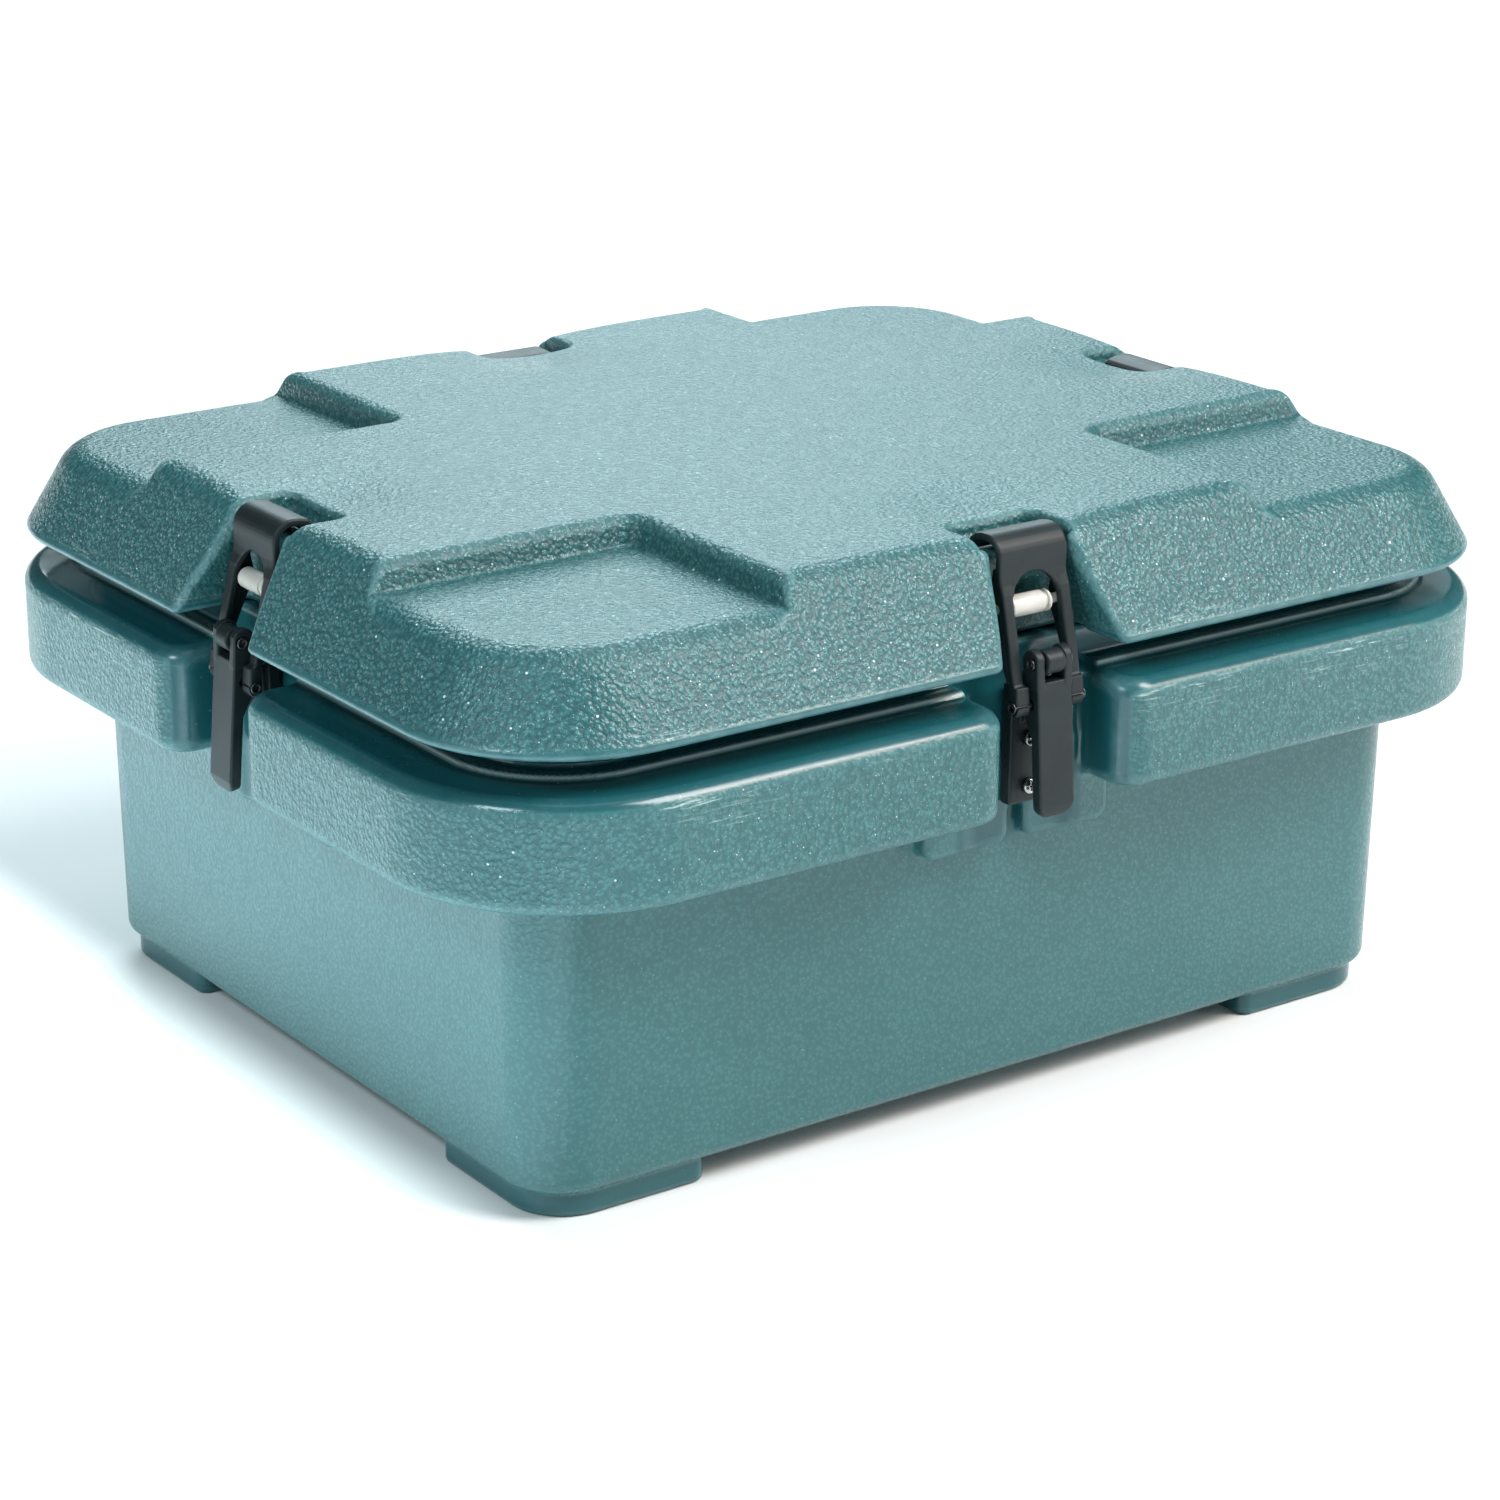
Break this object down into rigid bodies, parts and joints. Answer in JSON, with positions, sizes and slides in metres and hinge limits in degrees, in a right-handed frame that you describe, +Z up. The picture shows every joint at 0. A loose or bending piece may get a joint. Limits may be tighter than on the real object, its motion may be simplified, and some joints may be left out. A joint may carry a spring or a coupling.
{
  "type": "insulated food carrier",
  "caption": "Low rectangular insulated food carrier: foam-filled moulded tub with a wide grip rim, a lift-off lid with stacking recesses, and over-centre latches on every side.",
  "frame": {"origin": "middle of the footprint, on the ground under the feet", "axes": "+Z up; +X along the long side; -Y is the front long side"},
  "size_m": [0.47, 0.398, 0.222],
  "materials": {
    "teal_polyethylene": "rotationally moulded, fine pebbled grain with pale specks",
    "foam": "rigid closed-cell foam",
    "black_nylon": "semi-matte moulded nylon",
    "pin_steel": "bright drawn steel",
    "screw_steel": "bright plated",
    "white_nylon": "smooth creamy white nylon"
  },
  "bodies": {
    "base": {"base_shell": "teal_polyethylene", "front_left_rim": "teal_polyethylene", "front_right_rim": "teal_polyethylene", "back_left_rim": "teal_polyethylene", "back_right_rim": "teal_polyethylene", "base_liner": "teal_polyethylene", "front_left_foot": "teal_polyethylene", "front_right_foot": "teal_polyethylene", "back_left_foot": "teal_polyethylene", "back_right_foot": "teal_polyethylene", "base_foam_core": "foam", "base_fill_plug": "teal_polyethylene", "front_latch_bracket": "black_nylon", "front_lever_pin": "pin_steel", "front_screw_lower": "screw_steel", "front_screw_upper": "screw_steel", "right_latch_bracket": "black_nylon", "right_lever_pin": "pin_steel", "right_screw_lower": "screw_steel", "right_screw_upper": "screw_steel", "back_latch_bracket": "black_nylon", "back_lever_pin": "pin_steel", "back_screw_lower": "screw_steel", "back_screw_upper": "screw_steel", "left_latch_bracket": "black_nylon", "left_lever_pin": "pin_steel", "left_screw_lower": "screw_steel", "left_screw_upper": "screw_steel"},
    "lid": {"lid_shell": "teal_polyethylene", "lid_foam_core": "foam", "lid_fill_plug": "teal_polyethylene"},
    "front_lever": {"front_latch_lever": "black_nylon", "front_hook_pin": "pin_steel"},
    "front_hook": {"front_latch_hook": "black_nylon", "front_hook_rod": "white_nylon"},
    "right_lever": {"right_latch_lever": "black_nylon", "right_hook_pin": "pin_steel"},
    "right_hook": {"right_latch_hook": "black_nylon", "right_hook_rod": "white_nylon"},
    "back_lever": {"back_latch_lever": "black_nylon", "back_hook_pin": "pin_steel"},
    "back_hook": {"back_latch_hook": "black_nylon", "back_hook_rod": "white_nylon"},
    "left_lever": {"left_latch_lever": "black_nylon", "left_hook_pin": "pin_steel"},
    "left_hook": {"left_latch_hook": "black_nylon", "left_hook_rod": "white_nylon"}
  },
  "joints": [
    {"name": "lid_lift", "type": "slide", "parent": "base", "child": "lid", "axis": [0, 0, 1], "range_m": [0, 0.3]},
    {"name": "front_lever_hinge", "type": "hinge", "parent": "base", "child": "front_lever", "pos_m": [0, -0.1864, 0.1766], "axis": [-1, 0, 0], "range_deg": [0, 120]},
    {"name": "front_hook_hinge", "type": "hinge", "parent": "front_lever", "child": "front_hook", "pos_m": [0, -0.1855, 0.1617], "axis": [-1, 0, 0], "range_deg": [-144, 0]},
    {"name": "right_lever_hinge", "type": "hinge", "parent": "base", "child": "right_lever", "pos_m": [0.2224, 0, 0.1766], "axis": [0, -1, 0], "range_deg": [0, 120]},
    {"name": "right_hook_hinge", "type": "hinge", "parent": "right_lever", "child": "right_hook", "pos_m": [0.2215, 0, 0.1617], "axis": [0, -1, 0], "range_deg": [-144, 0]},
    {"name": "back_lever_hinge", "type": "hinge", "parent": "base", "child": "back_lever", "pos_m": [0, 0.1864, 0.1766], "axis": [1, 0, 0], "range_deg": [0, 120]},
    {"name": "back_hook_hinge", "type": "hinge", "parent": "back_lever", "child": "back_hook", "pos_m": [0, 0.1855, 0.1617], "axis": [1, 0, 0], "range_deg": [-144, 0]},
    {"name": "left_lever_hinge", "type": "hinge", "parent": "base", "child": "left_lever", "pos_m": [-0.2224, 0, 0.1766], "axis": [0, 1, 0], "range_deg": [0, 120]},
    {"name": "left_hook_hinge", "type": "hinge", "parent": "left_lever", "child": "left_hook", "pos_m": [-0.2215, 0, 0.1617], "axis": [0, 1, 0], "range_deg": [-144, 0]}
  ],
  "couplings": [
    {"joint": "front_hook_hinge", "follows": "front_lever_hinge", "ratio": -1.2},
    {"joint": "right_hook_hinge", "follows": "right_lever_hinge", "ratio": -1.2},
    {"joint": "back_hook_hinge", "follows": "back_lever_hinge", "ratio": -1.2},
    {"joint": "left_hook_hinge", "follows": "left_lever_hinge", "ratio": -1.2}
  ]
}
